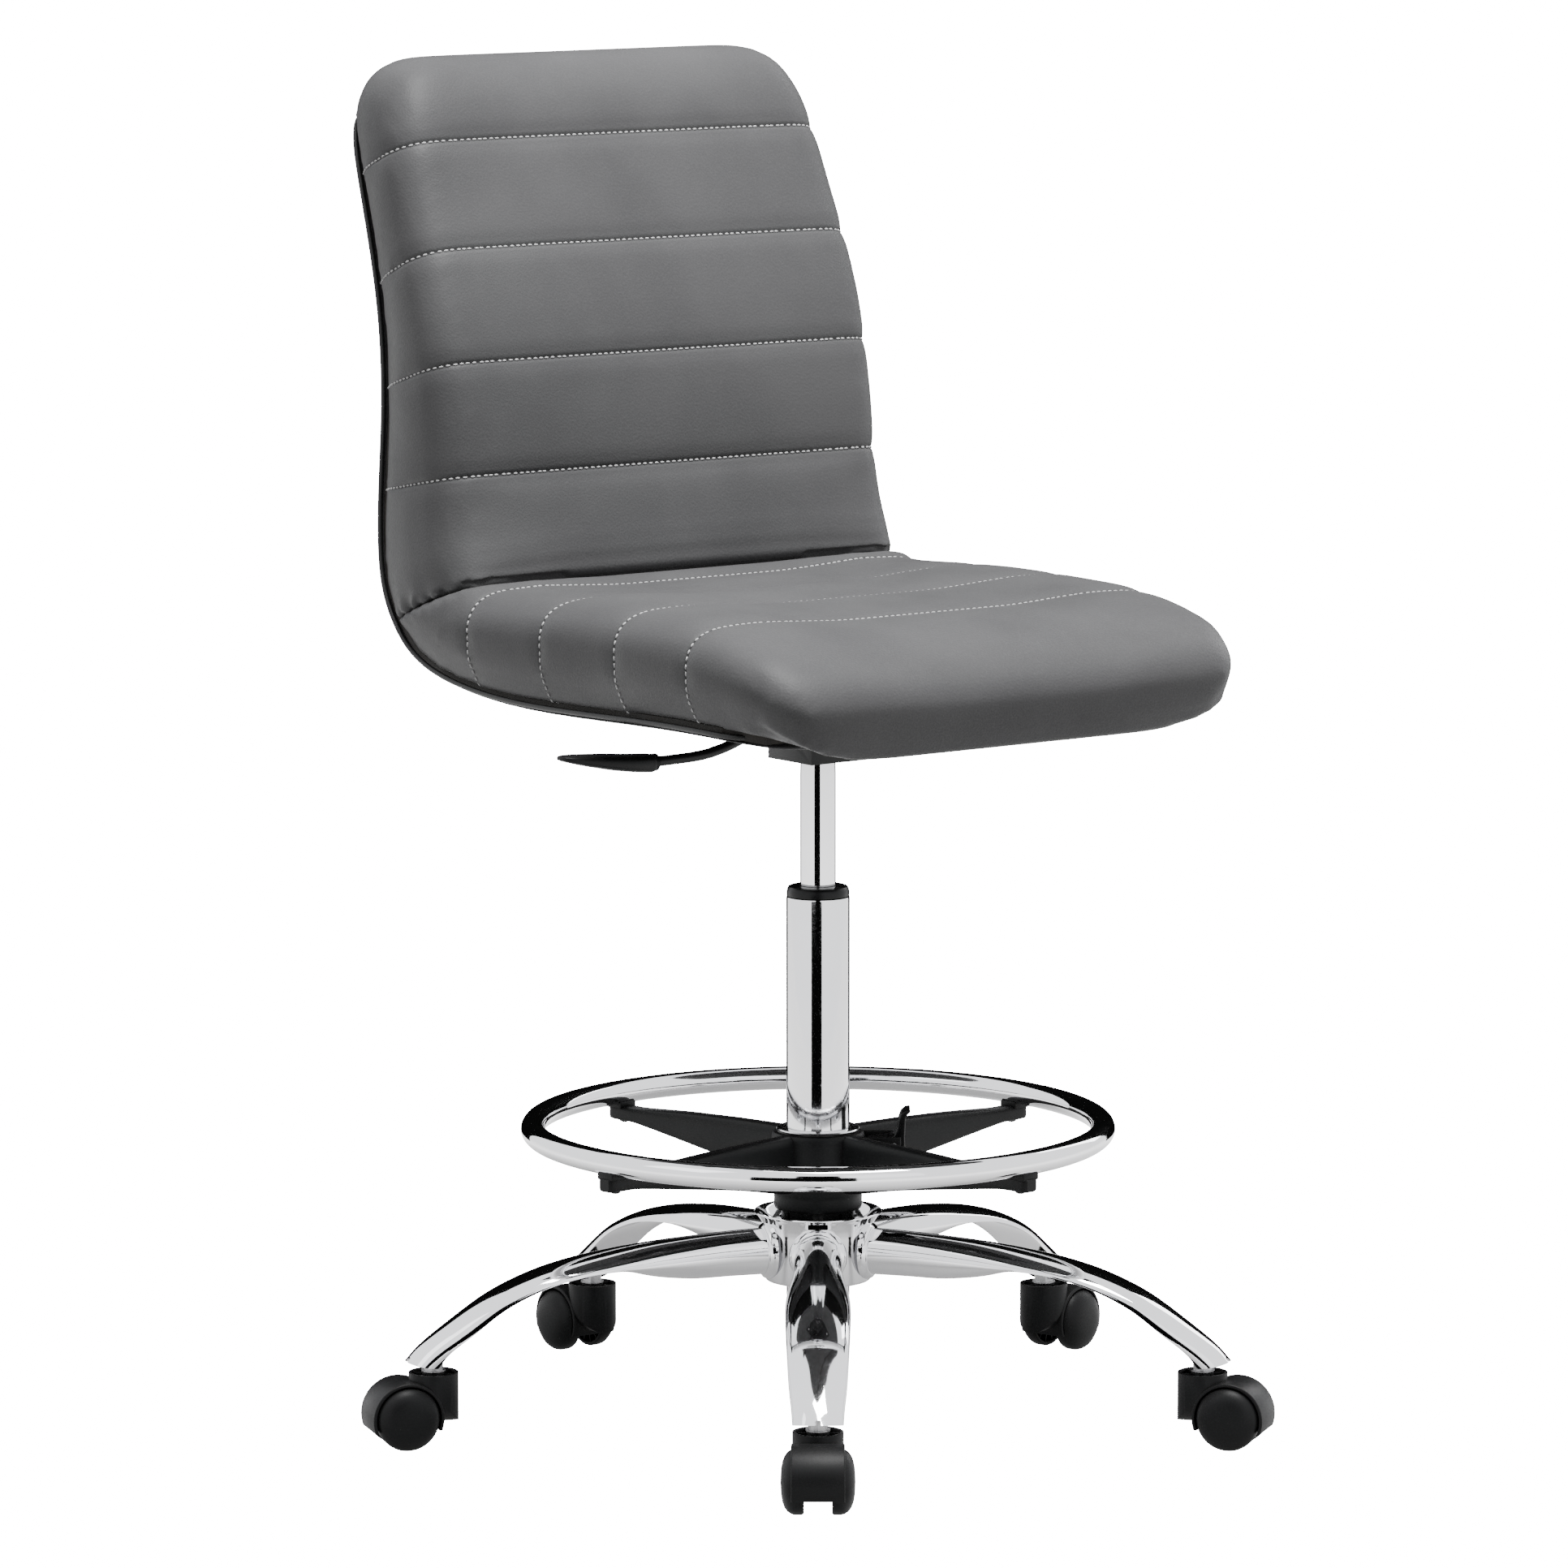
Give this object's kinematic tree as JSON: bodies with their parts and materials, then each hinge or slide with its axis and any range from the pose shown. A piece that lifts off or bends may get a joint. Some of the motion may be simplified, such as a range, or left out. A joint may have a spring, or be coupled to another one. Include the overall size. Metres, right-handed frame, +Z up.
{
  "type": "drafting chair",
  "caption": "Armless drafting chair: channel-stitched back and seat on one bent shell, gas-lift column, foot ring with spoked hub, and a pressed-tube star base on paired casters.",
  "frame": {"origin": "middle of the footprint box, on the floor", "axes": "+Z up, the chair faces -Y, +X is the chair's own left-hand side"},
  "size_m": [0.7132, 0.6926, 1.064],
  "materials": {
    "chrome": "polished chrome plate",
    "steel": "turned, zinc plated",
    "black_steel": "satin black powder coat",
    "black_plastic": "fine-grained moulded nylon",
    "rubber": "matt",
    "leatherette": "fine-grained grey leatherette, semi-matt",
    "plywood": "bare bent plywood"
  },
  "bodies": {
    "base": {"base_hub": "chrome", "base_arm_1": "chrome", "base_arm_2": "chrome", "base_arm_3": "chrome", "base_arm_4": "chrome", "base_arm_5": "chrome", "caster_stem_1": "steel", "caster_stem_2": "steel", "caster_stem_3": "steel", "caster_stem_4": "steel", "caster_stem_5": "steel", "column_tube": "chrome", "column_guide_bush": "black_plastic", "bearing_lower_race": "steel"},
    "column_core": {"piston_rod": "steel", "piston": "steel", "bearing_cage": "steel", "bearing_upper_race": "steel", "bump_stop": "rubber", "rod_clip": "steel"},
    "seat_unit": {"gas_cylinder": "chrome", "gas_gland": "rubber", "seat_mechanism": "black_steel", "stud_strip_front": "steel", "stud_strip_rear": "steel", "lever_pivot_pin": "steel", "seat_shell": "plywood", "rear_cover": "leatherette", "edge_piping": "rubber", "back_cushion": "leatherette", "seat_cushion": "leatherette"},
    "height_lever": {"lever_rod": "black_steel", "lever_paddle": "black_plastic"},
    "release_button": {"release_pin": "steel"},
    "ring_slider": {"ring_sleeve": "black_plastic"},
    "ring_frame": {"foot_ring": "chrome", "ring_hub": "black_plastic", "lock_lever_pin": "steel"},
    "ring_lock": {"lock_lever": "black_plastic"},
    "caster_1": {"caster_housing_1": "black_plastic", "caster_axle_1": "steel"},
    "wheel_1_left": {"caster_wheel_1_left": "black_plastic"},
    "wheel_1_right": {"caster_wheel_1_right": "black_plastic"},
    "caster_2": {"caster_housing_2": "black_plastic", "caster_axle_2": "steel"},
    "wheel_2_left": {"caster_wheel_2_left": "black_plastic"},
    "wheel_2_right": {"caster_wheel_2_right": "black_plastic"},
    "caster_3": {"caster_housing_3": "black_plastic", "caster_axle_3": "steel"},
    "wheel_3_left": {"caster_wheel_3_left": "black_plastic"},
    "wheel_3_right": {"caster_wheel_3_right": "black_plastic"},
    "caster_4": {"caster_housing_4": "black_plastic", "caster_axle_4": "steel"},
    "wheel_4_left": {"caster_wheel_4_left": "black_plastic"},
    "wheel_4_right": {"caster_wheel_4_right": "black_plastic"},
    "caster_5": {"caster_housing_5": "black_plastic", "caster_axle_5": "steel"},
    "wheel_5_left": {"caster_wheel_5_left": "black_plastic"},
    "wheel_5_right": {"caster_wheel_5_right": "black_plastic"}
  },
  "joints": [
    {"name": "seat_swivel", "type": "hinge", "parent": "base", "child": "column_core", "pos_m": [-0.0026, -0.0324, 0.1], "axis": [0, 0, 1], "continuous": true},
    {"name": "seat_height", "type": "slide", "parent": "column_core", "child": "seat_unit", "axis": [0, 0, 1], "range_m": [-0.068, 0.13]},
    {"name": "lever_lift", "type": "hinge", "parent": "seat_unit", "child": "height_lever", "pos_m": [-0.0326, -0.0324, 0.558], "axis": [0, 1, 0], "range_deg": [0, 5], "stiffness_Nm_per_rad": 1.5, "springref_deg": -8.59},
    {"name": "button_press", "type": "slide", "parent": "seat_unit", "child": "release_button", "axis": [0, 0, -1], "range_m": [0, 0.0028]},
    {"name": "ring_height", "type": "slide", "parent": "base", "child": "ring_slider", "axis": [0, 0, 1], "range_m": [0, 0.15]},
    {"name": "ring_turn", "type": "hinge", "parent": "ring_slider", "child": "ring_frame", "pos_m": [-0.0026, -0.0324, 0.2], "axis": [0, 0, 1], "continuous": true},
    {"name": "ring_lock_flip", "type": "hinge", "parent": "ring_frame", "child": "ring_lock", "pos_m": [0.04494, -0.06901, 0.222], "axis": [0.6101, 0.7923, 0], "range_deg": [0, 55]},
    {"name": "caster_1_swivel", "type": "hinge", "parent": "base", "child": "caster_1", "pos_m": [-0.1948, -0.28197, 0.05], "axis": [0, 0, 1], "continuous": true},
    {"name": "wheel_1_left_roll", "type": "hinge", "parent": "caster_1", "child": "wheel_1_left", "pos_m": [-0.21005, -0.30178, 0.025], "axis": [0.7923, -0.6101, 0], "continuous": true},
    {"name": "wheel_1_right_roll", "type": "hinge", "parent": "caster_1", "child": "wheel_1_right", "pos_m": [-0.21005, -0.30178, 0.025], "axis": [0.7923, -0.6101, 0], "continuous": true},
    {"name": "caster_2_swivel", "type": "hinge", "parent": "base", "child": "caster_2", "pos_m": [0.17536, -0.29231, 0.05], "axis": [0, 0, 1], "continuous": true},
    {"name": "wheel_2_left_roll", "type": "hinge", "parent": "caster_2", "child": "wheel_2_left", "pos_m": [0.18949, -0.31294, 0.025], "axis": [0.8251, 0.565, 0], "continuous": true},
    {"name": "wheel_2_right_roll", "type": "hinge", "parent": "caster_2", "child": "wheel_2_right", "pos_m": [0.18949, -0.31294, 0.025], "axis": [0.8251, 0.565, 0], "continuous": true},
    {"name": "caster_3_swivel", "type": "hinge", "parent": "base", "child": "caster_3", "pos_m": [0.29958, 0.05654, 0.05], "axis": [0, 0, 1], "continuous": true},
    {"name": "wheel_3_left_roll", "type": "hinge", "parent": "caster_3", "child": "wheel_3_left", "pos_m": [0.32357, 0.0636, 0.025], "axis": [-0.2823, 0.9593, 0], "continuous": true},
    {"name": "wheel_3_right_roll", "type": "hinge", "parent": "caster_3", "child": "wheel_3_right", "pos_m": [0.32357, 0.0636, 0.025], "axis": [-0.2823, 0.9593, 0], "continuous": true},
    {"name": "caster_4_swivel", "type": "hinge", "parent": "base", "child": "caster_4", "pos_m": [0.00619, 0.28248, 0.05], "axis": [0, 0, 1], "continuous": true},
    {"name": "wheel_4_left_roll", "type": "hinge", "parent": "caster_4", "child": "wheel_4_left", "pos_m": [0.00689, 0.30747, 0.025], "axis": [-0.9996, 0.0279, 0], "continuous": true},
    {"name": "wheel_4_right_roll", "type": "hinge", "parent": "caster_4", "child": "wheel_4_right", "pos_m": [0.00689, 0.30747, 0.025], "axis": [-0.9996, 0.0279, 0], "continuous": true},
    {"name": "caster_5_swivel", "type": "hinge", "parent": "base", "child": "caster_5", "pos_m": [-0.29935, 0.07327, 0.05], "axis": [0, 0, 1], "continuous": true},
    {"name": "wheel_5_left_roll", "type": "hinge", "parent": "caster_5", "child": "wheel_5_left", "pos_m": [-0.3229, 0.08165, 0.025], "axis": [-0.3355, -0.9421, 0], "continuous": true},
    {"name": "wheel_5_right_roll", "type": "hinge", "parent": "caster_5", "child": "wheel_5_right", "pos_m": [-0.3229, 0.08165, 0.025], "axis": [-0.3355, -0.9421, 0], "continuous": true}
  ],
  "couplings": [
    {"joint": "button_press", "follows": "lever_lift", "m_per_rad": 0.03}
  ]
}
